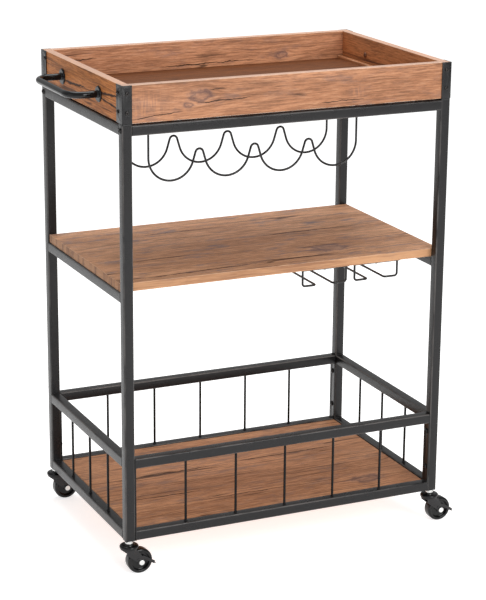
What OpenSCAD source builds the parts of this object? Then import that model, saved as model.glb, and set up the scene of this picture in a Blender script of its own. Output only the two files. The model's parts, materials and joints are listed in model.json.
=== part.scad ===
// Bar cart on four swivel casters: two welded side frames joined by bolted cross rails and
// basket panels, two wooden shelves, a lift-off tray, a bottle rack and two stemware channels.
// Millimetres. X runs along the cart, Y from the front (-) to the rear (+), Z up.
// The origin is the centre of the footprint, on the floor.

/* [Frame] */
// Length over the posts, along X
frame_l = 620; // [580:1:660]
// Width over the posts, along Y
frame_w = 400; // [380:1:440]
// Height of the top of the posts above the floor
post_top = 800; // [780:1:830]
// Side of the square steel tube
tube_s = 18; // [18:0.5:19]
// Wall of the square steel tube
tube_wall = 1.2; // [1:0.1:1.4]
// Outer corner radius of the square steel tube
tube_r = 2.5; // [2:0.1:3]
// Height of the underside of the side rails that carry the middle shelf
shelf_rail_z = 493; // [440:1:520]
// Height of the underside of the basket's guard rails
guard_rail_z = 196.5; // [180:0.5:220]
// Diameter of the basket's spindles
spindle_d = 4.5; // [4:0.5:6]
// Spindles in each long side of the basket
long_spindles = 5; // [3:1:7]
// Spindles in each short side of the basket
short_spindles = 3; // [2:1:5]
// Thickness of the plates that close the basket panels' ends
plate_t = 2; // [1.5:0.5:3]
// Height of the plastic caps above the posts
cap_h = 2.7; // [2:0.1:3]

/* [Bolts and screws] */
// Shank diameter of the frame bolts
bolt_d = 6; // [5:0.5:6]
// Head diameter of the frame bolts
bolt_head_d = 9.6; // [9:0.2:11]
// Head height of the frame bolts
bolt_head_h = 2.6; // [2:0.2:4]
// Shank diameter of the wood screws
screw_d = 3.6; // [3:0.2:4]
// Head diameter of the wood screws
screw_head_d = 7; // [6:0.2:8]
// Head height of the wood screws
screw_head_h = 1.8; // [1.4:0.2:2.4]

/* [Shelves] */
// Thickness of the middle shelf
shelf_t = 15; // [12:1:18]
// Distance from the posts' outer faces to the middle shelf's ends
shelf_inset = 2.5; // [1:0.5:5]
// Thickness of the lower shelf
low_shelf_t = 12; // [9:1:15]
// Depth of the lower shelf's top below the top of the bottom rails
low_shelf_drop = 2; // [1:0.5:3]

/* [Tray] */
// Gap between the post tops and the tray's underside
tray_gap = 3; // [3:0.1:3.4]
// Height of the tray's walls
tray_h = 64; // [50:1:90]
// Thickness of the tray's walls
tray_wall = 15; // [12:1:18]
// Thickness of the tray's floor
tray_floor_t = 12; // [6:1:14]
// Steel thickness of the tray's corner brackets
bracket_t = 1.5; // [1:0.5:2]
// Width of a bracket's flange on the long wall
bracket_long = 18; // [16:1:24]
// Width of a bracket's flange on the short wall
bracket_short = 26; // [24:1:32]
// Distance between a handle's two legs
handle_span = 180; // [120:5:220]
// Reach of a handle's centre line past the posts' outer face
handle_reach = 50; // [42:1:60]
// Diameter of a handle's bar
handle_d = 12; // [10:1:14]
// Centre-line radius of a handle's bends
handle_bend = 28; // [20:1:36]
// Diameter of a handle's flanges
flange_d = 28; // [24:1:32]

/* [Bottle rack] */
// Number of bottle cradles
cradles = 4; // [2:1:4]
// Distance between neighbouring cradles
cradle_pitch = 107; // [104:1:110]
// Wire diameter of both racks
wire_d = 4; // [3:0.5:5]
// Centre-line radius of a cradle
cradle_r = 43; // [40:1:44]
// Centre-line radius of the humps between cradles
hump_r = 7.5; // [6:0.5:9]
// Height of a hump above the bottom of a cradle
hump_h = 53; // [50:1:58]
// Height of the cradles' lowest centre line above the floor
cradle_z = 664; // [640:1:680]
// Place of the front wire along Y
front_wire_y = -50; // [-80:1:-40]
// Place of the rear wire along Y
rear_wire_y = 68; // [40:1:90]

/* [Stemware rack] */
// Places of the two channels along X
channel_x = [81, 184]; // [0:1:200]
// Distance between a channel's two rails, centre to centre
slot_w = 34; // [28:1:40]
// Distance between a channel's two front legs, centre to centre
leg_w = 86; // [70:1:90]
// Drop of the rails' centre line below the middle shelf
stem_drop = 30; // [25:1:40]
// Length of a channel from its front legs to the back of its turn
stem_l = 275; // [200:5:300]

/* [Casters] */
// Floor to the bottom of the posts
caster_h = 63; // [63:1:66]
// Wheel diameter
wheel_d = 46; // [40:1:46]
// Wheel width
wheel_w = 19; // [14:1:19]
// Distance from the swivel axis to the wheel's axle
trail = 18; // [16:1:20]

/* [Hidden] */
$fn = 48;
half_l = frame_l / 2;
half_w = frame_w / 2;
// Centre lines of the posts and of the tubes between them
post_x = half_l - tube_s / 2;
post_y = half_w - tube_s / 2;
// Clear distances between the posts
bay_l = frame_l - 2 * tube_s;
bay_w = frame_w - 2 * tube_s;
bore_s = tube_s - 2 * tube_wall;
top_rail_z = post_top - tube_s;
low_rail_top = caster_h + tube_s;
sides = [-1, 1];
// Clearance round a fixed shank, and round a turning one
fit = 0.05;
// Gap between pieces that move past each other
gap = 0.3;

// Frame bolts: heights of the two bolts at each end of a basket panel, and shank lengths
panel_bolt_z = [low_rail_top + 29, guard_rail_z - 17];
panel_bolt_l = plate_t + 10;
top_bolt_z = post_top - tube_s / 2;
top_bolt_l = tube_s + 9;
rail_end_t = 6;
cap_plug_h = 4;

// Shelves
shelf_z = shelf_rail_z + tube_s;
shelf_half_l = half_l - shelf_inset;
shelf_half_w = bay_w / 2 - 1;
low_shelf_z = low_rail_top - low_shelf_drop - low_shelf_t;
low_shelf_gap = 1.5;
tab_l = 24;
tab_w = 22;
tab_t = 2;
shelf_screw_y = 120;
shelf_screw_l = tube_s + 10;
short_screw_l = 11;

// Tray
tray_z = post_top + tray_gap;
tray_top = tray_z + tray_h;
tray_half_l = half_l - bracket_t;
tray_half_w = half_w - bracket_t;
tray_floor_z = tray_z + 1;
tray_floor_top = tray_floor_z + tray_floor_t;
batten_w = 8;
batten_h = 5;
batten_gap = 3;
batten_x = tray_half_l - tray_wall - batten_gap - batten_w;
groove_h = 1;
bracket_screw_z = [tray_z + 18.5, tray_top - 13.5];
bracket_screw_short = 19.5;
bracket_screw_l = 12;
handle_z = tray_z + tray_h / 2;
flange_t = 3;
handle_screw_d = 5;
handle_screw_l = tray_wall + 10;

// Bottle rack: the straight flanks run tangent to a cradle and a hump
crossbar_w = 14;
crossbar_t = 3;
crossbar_z = top_rail_z + 6;
flank_dx = cradle_pitch / 2;
flank_dz = hump_h - hump_r - cradle_r;
flank_span = norm([flank_dx, flank_dz]);
flank_angle = atan2(flank_dz, flank_dx) + asin((cradle_r + hump_r) / flank_span);
flank_l = sqrt(pow(flank_span, 2) - pow(cradle_r + hump_r, 2));
rack_half = (cradles - 1) * cradle_pitch / 2;

// Stemware rack
stem_front_y = -shelf_half_w + 7;
stem_back_y = stem_front_y + stem_l;
stem_z = shelf_z - stem_drop;
stem_bend = 5;
strap_t = 1.5;
strap_w = 10;
hanger_w = 12;
hanger_foot = 16;

// Casters, from the floor up
axle_z = wheel_d / 2;
axle_d = 5;
axle_head_d = 9.6;
axle_head_h = 3;
cheek_y = wheel_w / 2 + 2;
cheek_t = 1.6;
crown_z = wheel_d + 0.6;
crown_t = 1.8;
cup_d = 34;
cup_z = crown_z + crown_t + 0.4;
cup_h = 7.2;
stem_d = 8;
stem_top = caster_h + 25;
socket_h = 30;
collar_d = 14;
collar_h = 4;
brake_pin = [trail - 5, axle_z + 5];
brake_pin_d = 3;
brake_t = 1.2;
brake_y = wheel_w / 2 + 0.5;
shoe_gap = 1;
shoe_t = 1.2;
shoe_half_angle = 3.5;
shoe_angle = -11;
pedal_l = 5;
pedal_tilt = -24;

steel = [0.16, 0.16, 0.17];
zinc = [0.78, 0.79, 0.8];
board = [0.6, 0.36, 0.2];
dark_board = [0.42, 0.24, 0.14];
plastic = [0.08, 0.08, 0.09];

// ---- Shapes that several pieces share ----

// Square of side s with rounded corners, centred
module round_square(s, r) {
    square([s, s - 2 * r], center = true);
    square([s - 2 * r, s], center = true);
    for (x = sides, y = sides)
        translate([x, y] * (s / 2 - r)) circle(r = r);
}

// Square tube of length l, centred on the origin and running along Z
module tube(l) {
    linear_extrude(l, center = true) difference() {
        round_square(tube_s, tube_r);
        round_square(bore_s, tube_r - tube_wall);
    }
}

// Straight rod from a to b
module rod(a, b, d) {
    v = b - a;
    translate(a)
        rotate([0, acos(v.z / norm(v)), atan2(v.y, v.x)])
            cylinder(h = norm(v), d = d);
}

// Round bar bent along a list of points, with the same bend radius at each corner
module bent_bar(points, bend, d) {
    last = len(points) - 1;
    dirs = [for (i = [0 : last - 1]) (points[i + 1] - points[i]) / norm(points[i + 1] - points[i])];
    trim = [for (i = [0 : last]) i == 0 || i == last ? 0
        : bend * tan(acos(dirs[i - 1] * dirs[i]) / 2)];
    for (i = [0 : last - 1])
        rod(points[i] + dirs[i] * trim[i], points[i + 1] - dirs[i] * trim[i + 1], d);
    for (i = [1 : last - 1])
        bend_arc(points[i] - dirs[i - 1] * trim[i], dirs[i - 1], dirs[i], bend, d);
}

// Bend that starts at a point in direction u and ends in direction w
module bend_arc(start, u, w, bend, d) {
    side = (w - (u * w) * u) / norm(w - (u * w) * u);
    up = cross(-side, u);
    centre = start + side * bend;
    multmatrix([
        [-side.x, u.x, up.x, centre.x],
        [-side.y, u.y, up.y, centre.y],
        [-side.z, u.z, up.z, centre.z],
        [0, 0, 0, 1]
    ])
        rotate_extrude(angle = acos(u * w)) translate([bend, 0]) circle(d = d);
}

// Screw or bolt that stands on its head's underside at the origin, shank along +Z
module fastener(head_d, head_h, shank_d, shank_l) {
    translate([0, 0, -head_h]) cylinder(h = head_h, d = head_d);
    cylinder(h = shank_l, d = shank_d);
}

// Turns the +Z axis to -X or +X, and to -Y or +Y
module along_x(side) { rotate([0, side * 90, 0]) children(); }
module along_y(side) { rotate([-side * 90, 0, 0]) children(); }

// Copies a child to both ends or to all four corners, mirrored
module both_ends() { for (x = sides) scale_side(x, 1) children(); }
module four_corners() { for (x = sides, y = sides) scale_side(x, y) children(); }
module scale_side(x, y) { mirror([x < 0 ? 1 : 0, 0, 0]) mirror([0, y < 0 ? 1 : 0, 0]) children(); }

// ---- Frame ----

// Shanks of the frame bolts in one quarter of the cart, or the bolts themselves
module quarter_bolts(grow, heads) {
    head_d = heads ? bolt_head_d : bolt_d;
    for (z = panel_bolt_z)
        translate([bay_l / 2 - plate_t, post_y, z]) along_x(1)
            fastener(head_d, bolt_head_h, bolt_d + grow, panel_bolt_l);
    translate([half_l, post_y, top_bolt_z]) along_x(-1)
        fastener(head_d, bolt_head_h, bolt_d + grow, top_bolt_l);
}

module post(x, y) color(steel) scale_side(x, y) difference() {
    translate([post_x, post_y, (caster_h + post_top) / 2]) tube(post_top - caster_h);
    quarter_bolts(2 * fit, false);
}

// Side rail, welded between a front and a rear post
module side_rail(x, z) color(steel)
    translate([x * post_x, 0, z + tube_s / 2]) along_y(1) tube(bay_w);

// Shelf rail: a side rail with two screw holes up through it
module shelf_rail(x) color(steel) difference() {
    side_rail(x, shelf_rail_z);
    shelf_screws(2 * fit, false);
}

// Top rail between the posts, with a tapped plug welded into each end
module long_top_rail(y) color(steel) difference() {
    translate([0, y * post_y, top_bolt_z]) along_x(1) union() {
        tube(bay_l);
        for (end = sides)
            translate([0, 0, end * (bay_l - rail_end_t) / 2]) linear_extrude(rail_end_t, center = true)
                round_square(bore_s, tube_r - tube_wall);
    }
    four_corners() quarter_bolts(2 * fit, false);
}

// Long rail of a basket panel, welded between its two end plates
module panel_rail(y, z) color(steel)
    translate([0, y * post_y, z + tube_s / 2]) along_x(1) tube(bay_l - 2 * plate_t);

module spindle() {
    translate([0, 0, low_rail_top]) cylinder(h = guard_rail_z - low_rail_top, d = spindle_d);
}

module spindles() color(steel) {
    long_pitch = (bay_l - 2 * plate_t) / (long_spindles + 1);
    short_pitch = bay_w / (short_spindles + 1);
    for (y = sides, i = [1 : long_spindles])
        translate([(i - (long_spindles + 1) / 2) * long_pitch, y * post_y, 0]) spindle();
    for (x = sides, i = [1 : short_spindles])
        translate([x * post_x, (i - (short_spindles + 1) / 2) * short_pitch, 0]) spindle();
}

module panel_plates() color(steel) four_corners() difference() {
    translate([bay_l / 2 - plate_t, half_w - tube_s, caster_h])
        cube([plate_t, tube_s, guard_rail_z + tube_s - caster_h]);
    quarter_bolts(2 * fit, false);
}

module frame_bolts() color(steel) four_corners() quarter_bolts(0, true);

module post_caps() color(plastic) four_corners() translate([post_x, post_y, post_top]) {
    linear_extrude(cap_h) round_square(tube_s, tube_r);
    translate([0, 0, -cap_plug_h]) linear_extrude(cap_plug_h)
        round_square(bore_s - 2 * fit, tube_r - tube_wall);
}

// ---- Shelves ----

// Screws that hold the middle shelf down, up through the shelf rails
module shelf_screws(grow, heads) {
    head_d = heads ? screw_head_d : screw_d;
    for (x = sides, y = sides)
        translate([x * post_x, y * shelf_screw_y, shelf_rail_z])
            fastener(head_d, screw_head_h, screw_d + grow, shelf_screw_l);
}

// Screws of the stemware channels: one in each front strap and one in each hanger
module stem_screws(grow, heads) {
    head_d = heads ? screw_head_d : screw_d;
    for (x = channel_x, y = [stem_front_y, stem_back_y + hanger_foot / 2 + 2])
        translate([x, y, shelf_z - strap_t]) fastener(head_d, screw_head_h, screw_d + grow, short_screw_l);
}

// Screws that hold the lower shelf to its tabs
module tab_screws(grow, heads) {
    head_d = heads ? screw_head_d : screw_d;
    tab_places() translate([0, -tab_l / 2, -tab_t])
        fastener(head_d, screw_head_h, screw_d + grow, short_screw_l);
}

module middle_shelf() color(board) difference() {
    translate([-shelf_half_l, -shelf_half_w, shelf_z]) cube([2 * shelf_half_l, 2 * shelf_half_w, shelf_t]);
    shelf_screws(2 * fit, false);
    stem_screws(2 * fit, false);
}

module lower_shelf() color(dark_board) difference() {
    translate([-bay_l / 2 + low_shelf_gap, -bay_w / 2 + low_shelf_gap, low_shelf_z])
        cube([bay_l - 2 * low_shelf_gap, bay_w - 2 * low_shelf_gap, low_shelf_t]);
    tab_screws(2 * fit, false);
}

// Six places under the lower shelf: two along each short side and one at the middle of each long side
module tab_places() {
    for (x = sides, y = sides)
        translate([x * bay_l / 2, y * shelf_screw_y, low_shelf_z]) rotate([0, 0, -x * 90]) children();
    for (y = sides)
        translate([0, y * bay_w / 2, low_shelf_z]) rotate([0, 0, y > 0 ? 0 : 180]) children();
}

module shelf_tabs() color(steel) difference() {
    tab_places() translate([-tab_w / 2, -tab_l, -tab_t]) cube([tab_w, tab_l, tab_t]);
    tab_screws(2 * fit, false);
}

module wood_screws() color(zinc) {
    shelf_screws(0, true);
    stem_screws(0, true);
    tab_screws(0, true);
}

// ---- Bottle rack ----

// Arc of wire in the XZ plane about a centre, from one angle to another
module wire_arc(x, z, r, from, to) {
    translate([x, 0, z]) rotate([90, 0, 0]) rotate([0, 0, from])
        rotate_extrude(angle = to - from) translate([r, 0]) circle(d = wire_d);
}

// Straight wire between bends, stopping just short of each bend, with a ball over the joint
module blended_rod(a, b, bends) {
    ends = [a, b];
    short = 0.05 * (b - a) / norm(b - a);
    rod(a + short, b - (len(bends) == 2 ? short : [0, 0, 0]), wire_d);
    for (i = bends) translate(ends[i]) sphere(d = wire_d + 0.04);
}

// Wave-shaped wire: cradles below, humps between them, and a straight leg up at each end
module bottle_wire(y) color(steel) translate([0, y, cradle_z + cradle_r]) {
    leg_x = rack_half + cradle_r;
    for (i = [0 : cradles - 1]) {
        from = i == 0 ? 180 : 270 - flank_angle;
        to = i == cradles - 1 ? 360 : 270 + flank_angle;
        wire_arc(i * cradle_pitch - rack_half, 0, cradle_r, from, to);
    }
    for (i = [1 : cradles - 1])
        translate([(i - 0.5) * cradle_pitch - rack_half, 0, flank_dz]) {
            wire_arc(0, 0, hump_r, 90 - flank_angle, 90 + flank_angle);
            for (side = sides) {
                top = [side * hump_r * sin(flank_angle), 0, hump_r * cos(flank_angle)];
                run = [side * cos(flank_angle), 0, -sin(flank_angle)] * flank_l;
                blended_rod(top, top + run, [0, 1]);
            }
        }
    for (side = sides)
        blended_rod([side * leg_x, 0, 0], [side * leg_x, 0, crossbar_z - cradle_z - cradle_r], [0]);
}

// Flat bars that carry the wires, welded between the front and rear top rails
module bottle_crossbars() color(steel) both_ends()
    translate([rack_half + cradle_r - crossbar_w / 2, -bay_w / 2, crossbar_z])
        cube([crossbar_w, bay_w, crossbar_t]);

// ---- Stemware rack ----

// One channel: legs down from the strap, in to the slot, back along it and round its closed end
module stem_wire(x) color(steel) translate([x, 0, 0]) {
    turn_y = stem_back_y - slot_w / 2;
    for (side = sides)
        bent_bar([
            [side * leg_w / 2, stem_front_y, shelf_z - strap_t],
            [side * leg_w / 2, stem_front_y, stem_z],
            [side * slot_w / 2, stem_front_y, stem_z],
            [side * slot_w / 2, turn_y, stem_z]
        ], stem_bend, wire_d);
    translate([0, turn_y, stem_z])
        rotate_extrude(angle = 180) translate([slot_w / 2, 0]) circle(d = wire_d);
}

// Front straps and rear hangers, welded to the wires and screwed under the middle shelf
module stem_straps() color(steel) difference() {
    for (x = channel_x) {
        translate([x - leg_w / 2 - 3, stem_front_y - strap_w / 2, shelf_z - strap_t])
            cube([leg_w + 6, strap_w, strap_t]);
        translate([x - hanger_w / 2, stem_back_y + wire_d / 2, 0]) {
            translate([0, 0, stem_z - wire_d / 2])
                cube([hanger_w, strap_t, stem_drop + wire_d / 2]);
            translate([0, 0, shelf_z - strap_t]) cube([hanger_w, hanger_foot, strap_t]);
        }
    }
    stem_screws(2 * fit, false);
}

// ---- Casters ----

// Puts a caster's pieces under the post at side x, y; every caster trails towards +X
module at_caster(x, y) { translate([x * post_x, y * post_y, 0]) children(); }

// Plugs pressed into the posts' lower ends, bored for the casters' stems
module stem_sockets() color(plastic) for (x = sides, y = sides) at_caster(x, y)
    translate([0, 0, caster_h]) linear_extrude(socket_h) difference() {
        round_square(bore_s - 2 * fit, tube_r - tube_wall);
        circle(d = stem_d + 2 * fit);
    }

// Stem with its riveted foot under the fork, collar and hexagonal nut
module caster_stems() color(zinc) for (x = sides, y = sides) at_caster(x, y) {
    translate([0, 0, crown_z - 2.2]) cylinder(h = 2, d = 12);
    translate([0, 0, crown_z - 2.2]) cylinder(h = stem_top - crown_z + 2.2, d = stem_d);
    translate([0, 0, cup_z + cup_h]) cylinder(h = collar_h, d = collar_d);
    translate([0, 0, cup_z + cup_h + collar_h])
        cylinder(h = caster_h - cup_z - cup_h - collar_h, d = 13.5, $fn = 6);
}

// Upper race: a pressed cup with a rounded rim, fixed on the stem
module race_cups() color(plastic) for (x = sides, y = sides) at_caster(x, y)
    translate([0, 0, cup_z]) rotate_extrude() difference() {
        union() {
            square([cup_d / 2 - 3, cup_h]);
            translate([0, 1]) square([cup_d / 2, cup_h - 4]);
            translate([cup_d / 2 - 3, cup_h - 3]) circle(r = 3);
            square([cup_d / 2 - 1, 2]);
            translate([cup_d / 2 - 1, 1]) circle(r = 1);
        }
        translate([-1, -1]) square([stem_d / 2 + fit + 1, cup_h + 2]);
    }

// Fork: a round crown on the stem, two cheeks down to the axle, and rivets for the brake
module fork(x, y, braked) color(steel) at_caster(x, y) {
    difference() {
        translate([0, 0, crown_z]) cylinder(h = crown_t, d = cup_d - 3);
        translate([0, 0, crown_z - 1]) cylinder(h = crown_t + 2, d = stem_d + 2 * fit);
    }
    for (side = sides) {
        difference() {
            cheek(side);
            translate([trail, 0, axle_z]) along_y(side) cylinder(h = 20, d = axle_d + 2 * fit);
        }
        if (braked)
            translate([brake_pin.x, 0, brake_pin.y]) along_y(side) {
                translate([0, 0, brake_y - gap / 2])
                    cylinder(h = cheek_y + cheek_t + 0.5 - brake_y + gap / 2, d = brake_pin_d);
                translate([0, 0, cheek_y + cheek_t]) cylinder(h = 1, d = brake_pin_d + 2);
            }
    }
}

module cheek(side) {
    foot_r = 6.5;
    translate([0, side * (cheek_y + cheek_t / 2), 0]) rotate([90, 0, 0])
        linear_extrude(cheek_t, center = true) union() {
            polygon([
                [-9, crown_z + crown_t],
                [9, crown_z + crown_t],
                [trail + 1, axle_z + 13],
                [trail + foot_r, axle_z],
                [trail - foot_r, axle_z],
                [-9, crown_z - 7]
            ]);
            translate([trail, axle_z]) circle(r = foot_r);
        }
}

// Axle: a bolt with its head at the front and a nut of the same height at the rear
module axle(x, y) color(zinc) at_caster(x, y) translate([trail, 0, axle_z]) {
    along_y(1) cylinder(h = 2 * (cheek_y + cheek_t), d = axle_d, center = true);
    translate([0, -cheek_y - cheek_t, 0]) along_y(-1) cylinder(h = axle_head_h, d = axle_head_d);
    translate([0, cheek_y + cheek_t, 0]) along_y(1) cylinder(h = axle_head_h, d = axle_head_d, $fn = 6);
}

// Wheel: solid tyre and hub in one, with rounded shoulders and dished sides
module wheel(x, y) color(plastic) at_caster(x, y) translate([trail, -wheel_w / 2, axle_z]) along_y(1)
    rotate_extrude() difference() {
        union() {
            square([wheel_d / 2 - 4, wheel_w], center = false);
            translate([0, 4]) square([wheel_d / 2, wheel_w - 8]);
            for (z = [4, wheel_w - 4])
                translate([wheel_d / 2 - 4, z]) circle(r = 4);
        }
        translate([-1, -1]) square([axle_d / 2 + fit + 1, wheel_w + 2]);
        for (z = [-1, wheel_w - 1.5])
            translate([7, z]) square([wheel_d / 2 - 13, 2.5]);
    }

// Brake lever: two arms on the fork's rivets, a shoe behind the wheel and a pedal
module brake(x, y) color(steel) at_caster(x, y) {
    for (side = sides) difference() {
        translate([0, side * (brake_y + brake_t / 2), 0]) rotate([90, 0, 0])
            linear_extrude(brake_t, center = true) brake_arm();
        translate([brake_pin.x, 0, brake_pin.y]) along_y(side)
            cylinder(h = 20, d = brake_pin_d + 2 * fit);
    }
    translate([trail, 0, axle_z]) rotate([90, 0, 0])
        linear_extrude(2 * brake_y + brake_t, center = true) {
            rotate(shoe_angle) brake_shoe();
            rotate(shoe_angle) translate([wheel_d / 2 + shoe_gap + shoe_t / 2, 0])
                rotate(pedal_tilt) translate([0, -shoe_t / 2]) square([pedal_l, shoe_t]);
        }
}

// Arm in side view: its end is wider than the shoe, which is let into it
module brake_arm() {
    tip = wheel_d / 2 + shoe_gap + 2 * shoe_t;
    spread = shoe_half_angle + 2.5;
    translate([trail, axle_z]) polygon([
        [-5, 9],
        [6, 10.5],
        for (a = [spread, spread / 3, -spread / 3, -spread])
            tip * [cos(shoe_angle + a), sin(shoe_angle + a)],
        [5, 4.8],
        [-5, 4.8]
    ]);
    translate(brake_pin) circle(r = 4);
}

// Sector of a ring that follows the tread
module brake_shoe() {
    inner = wheel_d / 2 + shoe_gap;
    edge = inner * 1.4;
    intersection() {
        difference() {
            circle(r = inner + shoe_t);
            circle(r = inner);
        }
        polygon([
            [0, 0],
            edge * [cos(shoe_half_angle), -sin(shoe_half_angle)],
            edge * [cos(shoe_half_angle), sin(shoe_half_angle)]
        ]);
    }
}

// ---- Tray ----

// Screws of one corner bracket, two into the long wall and two into the short one
module corner_screws(grow, heads) {
    head_d = heads ? screw_head_d : screw_d;
    for (z = bracket_screw_z) {
        translate([half_l - bracket_long / 2, half_w, z]) along_y(-1)
            fastener(head_d, screw_head_h, screw_d + grow, bracket_screw_l);
        translate([half_l, half_w - bracket_screw_short, z]) along_x(-1)
            fastener(head_d, screw_head_h, screw_d + grow, bracket_screw_l);
    }
}

// Long wall, which covers the short walls' ends
module tray_long_wall(y) color(board) difference() {
    translate([-tray_half_l, y > 0 ? tray_half_w - tray_wall : -tray_half_w, tray_z])
        cube([2 * tray_half_l, tray_wall, tray_h]);
    four_corners() corner_screws(2 * fit, false);
}

module tray_short_wall(x) color(board) difference() {
    inner_w = tray_half_w - tray_wall;
    translate([x > 0 ? tray_half_l - tray_wall : -tray_half_l, -inner_w, tray_z])
        cube([tray_wall, 2 * inner_w, tray_h]);
    four_corners() corner_screws(2 * fit, false);
    four_corners() handle_screw(2 * fit, false);
}

// Floor board, with a shallow groove near each short side for a batten
module tray_floor() color(dark_board) difference() {
    translate([tray_wall - tray_half_l, tray_wall - tray_half_w, tray_floor_z])
        cube([2 * (tray_half_l - tray_wall), 2 * (tray_half_w - tray_wall), tray_floor_t]);
    both_ends() translate([batten_x - fit, -half_w, tray_floor_top - groove_h])
        cube([batten_w + 2 * fit, frame_w, groove_h + 1]);
}

// Narrow strips let into the floor, just inside the short walls
module tray_battens() color(board) both_ends()
    translate([batten_x, tray_wall - tray_half_w, tray_floor_top - groove_h])
        cube([batten_w, 2 * (tray_half_w - tray_wall), batten_h + groove_h]);

module tray_brackets() color(steel) four_corners() difference() {
    translate([half_l, half_w, tray_z]) {
        translate([-bracket_long, -bracket_t, 0]) cube([bracket_long, bracket_t, tray_h]);
        translate([-bracket_t, -bracket_short, 0]) cube([bracket_t, bracket_short, tray_h]);
    }
    corner_screws(2 * fit, false);
}

module bracket_screws() color(steel) four_corners() corner_screws(0, true);

// Machine screw from inside the tray into a handle's leg
module handle_screw(grow, heads) {
    head_d = heads ? handle_screw_d * 2 : handle_screw_d;
    translate([tray_half_l - tray_wall, handle_span / 2, handle_z]) along_x(1)
        fastener(head_d, 2.4, handle_screw_d + grow, handle_screw_l);
}

// Handle: a bent bar with a welded flange at each foot
module handle(x) color(steel) scale_side(x, 1) difference() {
    union() {
        bent_bar([
            [tray_half_l, -handle_span / 2, handle_z],
            [half_l + handle_reach, -handle_span / 2, handle_z],
            [half_l + handle_reach, handle_span / 2, handle_z],
            [tray_half_l, handle_span / 2, handle_z]
        ], handle_bend, handle_d);
        for (y = sides)
            translate([tray_half_l, y * handle_span / 2, handle_z]) along_x(1)
                cylinder(h = flange_t, d = flange_d);
    }
    for (y = sides) scale_side(1, y) handle_screw(2 * fit, false);
}

module handle_screws() color(zinc) four_corners() handle_screw(0, true);

post(-1, -1);  // post_front_left
post(1, -1);  // post_front_right
post(-1, 1);  // post_rear_left
post(1, 1);  // post_rear_right
side_rail(-1, top_rail_z);  // top_rail_left
side_rail(1, top_rail_z);  // top_rail_right
long_top_rail(-1);  // top_rail_front
long_top_rail(1);  // top_rail_rear
shelf_rail(-1);  // shelf_rail_left
shelf_rail(1);  // shelf_rail_right
side_rail(-1, guard_rail_z);  // guard_rail_left
side_rail(1, guard_rail_z);  // guard_rail_right
panel_rail(-1, guard_rail_z);  // guard_rail_front
panel_rail(1, guard_rail_z);  // guard_rail_rear
side_rail(-1, caster_h);  // bottom_rail_left
side_rail(1, caster_h);  // bottom_rail_right
panel_rail(-1, caster_h);  // bottom_rail_front
panel_rail(1, caster_h);  // bottom_rail_rear
spindles();
panel_plates();
frame_bolts();
post_caps();
middle_shelf();
lower_shelf();
shelf_tabs();
wood_screws();
bottle_wire(front_wire_y);  // bottle_wire_front
bottle_wire(rear_wire_y);  // bottle_wire_rear
bottle_crossbars();
stem_wire(channel_x[0]);  // stem_wire_left
stem_wire(channel_x[1]);  // stem_wire_right
stem_straps();
stem_sockets();
caster_stems();
race_cups();
fork(-1, -1, true);  // fork_front_left
fork(1, -1, true);  // fork_front_right
fork(-1, 1, false);  // fork_rear_left
fork(1, 1, false);  // fork_rear_right
axle(-1, -1);  // axle_front_left
axle(1, -1);  // axle_front_right
axle(-1, 1);  // axle_rear_left
axle(1, 1);  // axle_rear_right
wheel(-1, -1);  // wheel_front_left
wheel(1, -1);  // wheel_front_right
wheel(-1, 1);  // wheel_rear_left
wheel(1, 1);  // wheel_rear_right
brake(-1, -1);  // brake_front_left
brake(1, -1);  // brake_front_right
tray_long_wall(-1);  // tray_wall_front
tray_long_wall(1);  // tray_wall_rear
tray_short_wall(-1);  // tray_wall_left
tray_short_wall(1);  // tray_wall_right
tray_floor();
tray_battens();
tray_brackets();
bracket_screws();
handle(-1);  // handle_left
handle(1);  // handle_right
handle_screws();
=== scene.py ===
# Bar cart on four swivel casters: a frame of square steel tube, two shelves and a lift-off
# tray of brown timber, a wire bottle rack, two wire channels for stemware, and a basket.
# Metres: X runs along the cart, Y from front to rear and Z up, with the floor at 0.
import json
import math

import bmesh
import bpy
import numpy as np
from mathutils import Matrix, Vector

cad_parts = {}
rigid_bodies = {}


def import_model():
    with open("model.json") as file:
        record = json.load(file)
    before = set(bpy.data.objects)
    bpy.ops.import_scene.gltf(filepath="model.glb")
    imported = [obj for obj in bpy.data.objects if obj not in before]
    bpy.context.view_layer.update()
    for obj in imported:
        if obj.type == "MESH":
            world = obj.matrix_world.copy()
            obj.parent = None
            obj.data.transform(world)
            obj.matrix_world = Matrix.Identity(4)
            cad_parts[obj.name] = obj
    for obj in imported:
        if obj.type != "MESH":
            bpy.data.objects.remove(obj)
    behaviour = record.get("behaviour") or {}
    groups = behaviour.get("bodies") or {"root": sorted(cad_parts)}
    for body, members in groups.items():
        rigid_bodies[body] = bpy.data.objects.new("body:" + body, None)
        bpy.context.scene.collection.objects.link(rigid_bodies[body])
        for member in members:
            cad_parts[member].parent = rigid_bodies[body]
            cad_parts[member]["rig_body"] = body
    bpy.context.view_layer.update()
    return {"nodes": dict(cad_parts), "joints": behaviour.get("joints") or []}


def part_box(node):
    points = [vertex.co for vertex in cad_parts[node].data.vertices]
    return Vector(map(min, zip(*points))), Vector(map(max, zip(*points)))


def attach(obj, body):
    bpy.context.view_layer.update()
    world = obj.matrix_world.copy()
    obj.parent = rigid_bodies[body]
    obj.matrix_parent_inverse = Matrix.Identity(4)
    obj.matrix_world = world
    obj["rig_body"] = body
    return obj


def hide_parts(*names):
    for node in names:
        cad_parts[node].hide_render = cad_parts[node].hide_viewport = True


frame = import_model()

# ---- Posts and rails ----
# Square steel tube, 18 mm with a 1.2 mm wall, cold formed with rounded corners. The side
# frames are welded, and the cross rails bolt on. Everything is powder coated charcoal.


def tone(red, green, blue):
    """Colour from its screen values, 0 to 255."""
    return tuple((c / 255 / 12.92) if c < 10 else ((c / 255 + 0.055) / 1.055) ** 2.4
                 for c in (red, green, blue)) + (1.0,)


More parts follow.
